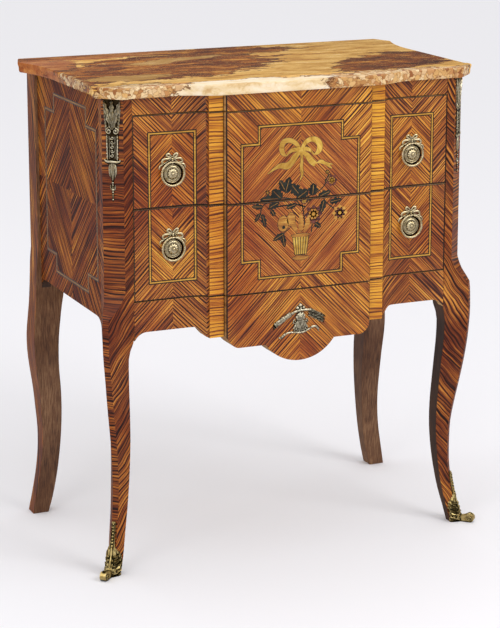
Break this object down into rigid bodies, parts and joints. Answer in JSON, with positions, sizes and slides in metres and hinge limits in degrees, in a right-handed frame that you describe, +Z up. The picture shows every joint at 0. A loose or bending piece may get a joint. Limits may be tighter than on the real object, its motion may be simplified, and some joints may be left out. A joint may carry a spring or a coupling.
{
  "type": "commode chest",
  "caption": "Breakfront commode chest on cabriole legs with stacked drawers, swinging ring pulls, metal mounts and a loose marble top.",
  "frame": {"origin": "on the floor under the middle of the outline box", "axes": "+Z up, +X towards the chest's left hand as it faces out, front towards -Y"},
  "size_m": [0.746, 0.445, 0.846],
  "materials": {
    "marble": "polished brecciated marble",
    "front_veneer": "polished striped veneer with stringing and marquetry",
    "leg_veneer": "polished striped veneer",
    "side_veneer": "polished quartered veneer with stringing",
    "carcass_wood": "bare softwood",
    "drawer_wood": "waxed oak",
    "bronze": "cast and gilt, with dark recesses",
    "steel": "plain"
  },
  "bodies": {
    "carcass": {"marble_top": "marble", "leg_front_right": "leg_veneer", "leg_front_left": "leg_veneer", "leg_back_right": "leg_veneer", "leg_back_left": "leg_veneer", "side_panel_right": "side_veneer", "side_panel_left": "side_veneer", "frieze_rail": "front_veneer", "front_apron": "front_veneer", "back_rail": "carcass_wood", "back_panel": "carcass_wood", "sub_top": "carcass_wood", "kicker_right": "carcass_wood", "kicker_left": "carcass_wood", "upper_rail": "carcass_wood", "upper_runner_right": "carcass_wood", "upper_runner_left": "carcass_wood", "upper_dust_board": "carcass_wood", "lower_rail": "carcass_wood", "lower_runner_right": "carcass_wood", "lower_runner_left": "carcass_wood", "lower_dust_board": "carcass_wood", "corner_mount_right": "bronze", "corner_mount_left": "bronze", "sabot_right": "bronze", "sabot_left": "bronze", "apron_mount": "bronze"},
    "upper_drawer": {"upper_drawer_front": "front_veneer", "upper_drawer_side_right": "drawer_wood", "upper_drawer_side_left": "drawer_wood", "upper_drawer_back": "drawer_wood", "upper_drawer_bottom": "drawer_wood", "upper_pull_left_plate": "bronze", "upper_pull_left_screw": "steel", "upper_pull_right_plate": "bronze", "upper_pull_right_screw": "steel"},
    "lower_drawer": {"lower_drawer_front": "front_veneer", "lower_drawer_side_right": "drawer_wood", "lower_drawer_side_left": "drawer_wood", "lower_drawer_back": "drawer_wood", "lower_drawer_bottom": "drawer_wood", "lower_pull_left_plate": "bronze", "lower_pull_left_screw": "steel", "lower_pull_right_plate": "bronze", "lower_pull_right_screw": "steel"},
    "upper_left_ring": {"upper_pull_left_ring": "bronze"},
    "upper_right_ring": {"upper_pull_right_ring": "bronze"},
    "lower_left_ring": {"lower_pull_left_ring": "bronze"},
    "lower_right_ring": {"lower_pull_right_ring": "bronze"}
  },
  "joints": [
    {"name": "upper_drawer_slide", "type": "slide", "parent": "carcass", "child": "upper_drawer", "axis": [0, -1, 0], "range_m": [0, 0.25]},
    {"name": "lower_drawer_slide", "type": "slide", "parent": "carcass", "child": "lower_drawer", "axis": [0, -1, 0], "range_m": [0, 0.25]},
    {"name": "upper_left_ring_swing", "type": "hinge", "parent": "upper_drawer", "child": "upper_left_ring", "pos_m": [-0.225, -0.1919, 0.7166], "axis": [-1, 0, 0], "range_deg": [0, 100]},
    {"name": "upper_right_ring_swing", "type": "hinge", "parent": "upper_drawer", "child": "upper_right_ring", "pos_m": [0.225, -0.1919, 0.7166], "axis": [-1, 0, 0], "range_deg": [0, 100]},
    {"name": "lower_left_ring_swing", "type": "hinge", "parent": "lower_drawer", "child": "lower_left_ring", "pos_m": [-0.225, -0.1919, 0.5886], "axis": [-1, 0, 0], "range_deg": [0, 100]},
    {"name": "lower_right_ring_swing", "type": "hinge", "parent": "lower_drawer", "child": "lower_right_ring", "pos_m": [0.225, -0.1919, 0.5886], "axis": [-1, 0, 0], "range_deg": [0, 100]}
  ]
}
